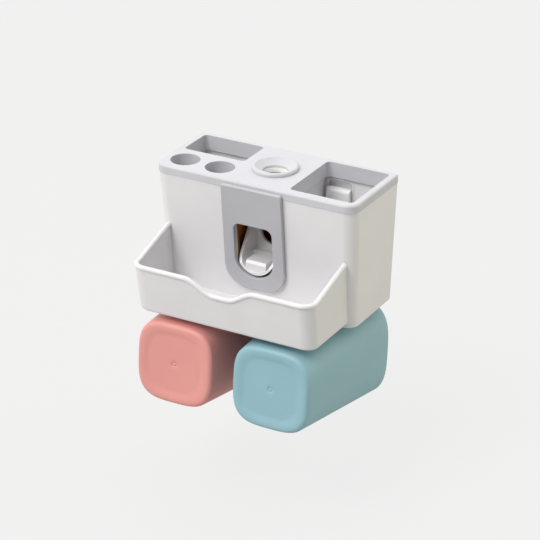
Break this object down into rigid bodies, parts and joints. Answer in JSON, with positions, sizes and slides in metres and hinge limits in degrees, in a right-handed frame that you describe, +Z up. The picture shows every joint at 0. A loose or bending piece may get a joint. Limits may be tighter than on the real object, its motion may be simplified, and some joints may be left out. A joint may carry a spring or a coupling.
{
  "type": "wall-mounted toothbrush holder",
  "caption": "Wall-hung toothbrush holder: lidded box with bins, brush holes, a push-in toothpaste dispenser and a front tray, with soft-square cups stored lying under it",
  "frame": {"origin": "centre of the adhesive pad's back face, which lies on the wall", "axes": "+X to the right for someone facing the holder, +Y into the wall, +Z up"},
  "size_m": [0.16, 0.1212, 0.1801],
  "materials": {
    "white_plastic": "satin moulded",
    "gloss_white_plastic": "gloss moulded",
    "grey_plastic": "satin moulded",
    "pink_plastic": "fine matt moulded",
    "blue_plastic": "fine matt moulded",
    "brown_plastic": "satin moulded",
    "silicone": "soft translucent white",
    "foam_tape": "foam",
    "steel": "plain"
  },
  "bodies": {
    "wall_mount": {"adhesive_pad": "foam_tape", "wall_plate": "white_plastic"},
    "holder": {"main_body": "white_plastic", "front_tray": "white_plastic", "dispenser_panel": "grey_plastic", "squeezer_housing": "brown_plastic", "lever_pin": "steel", "pump_head": "white_plastic", "inlet_valve": "silicone", "paste_nozzle": "silicone", "pump_bellows": "silicone", "cup_hanger_left": "white_plastic", "cup_hanger_right": "white_plastic", "cup_hanger_left_screw_1": "steel", "cup_hanger_left_screw_2": "steel", "cup_hanger_right_screw_1": "steel", "cup_hanger_right_screw_2": "steel", "housing_screw_1": "steel", "housing_screw_2": "steel", "housing_screw_3": "steel", "housing_screw_4": "steel"},
    "cover": {"top_cover": "grey_plastic", "inlet_funnel": "grey_plastic", "inlet_seal": "silicone"},
    "lever": {"push_lever": "gloss_white_plastic"},
    "cup_left_body": {"cup_left": "pink_plastic"},
    "cup_right_body": {"cup_right": "blue_plastic"}
  },
  "joints": [
    {"name": "holder_lift", "type": "slide", "parent": "wall_mount", "child": "holder", "axis": [0, 0, 1], "range_m": [0, 0.0178]},
    {"name": "cover_lift", "type": "slide", "parent": "holder", "child": "cover", "axis": [0, 0, 1], "range_m": [0, 0.018]},
    {"name": "lever_push", "type": "hinge", "parent": "holder", "child": "lever", "pos_m": [0, -0.0479, 0.007], "axis": [1, 0, 0], "range_deg": [0, 14], "stiffness_Nm_per_rad": 0.25, "deforming": ["pump_bellows"]},
    {"name": "cup_left_slide", "type": "slide", "parent": "holder", "child": "cup_left_body", "axis": [0, -1, 0], "range_m": [0, 0.05]},
    {"name": "cup_right_slide", "type": "slide", "parent": "holder", "child": "cup_right_body", "axis": [0, -1, 0], "range_m": [0, 0.05]}
  ]
}
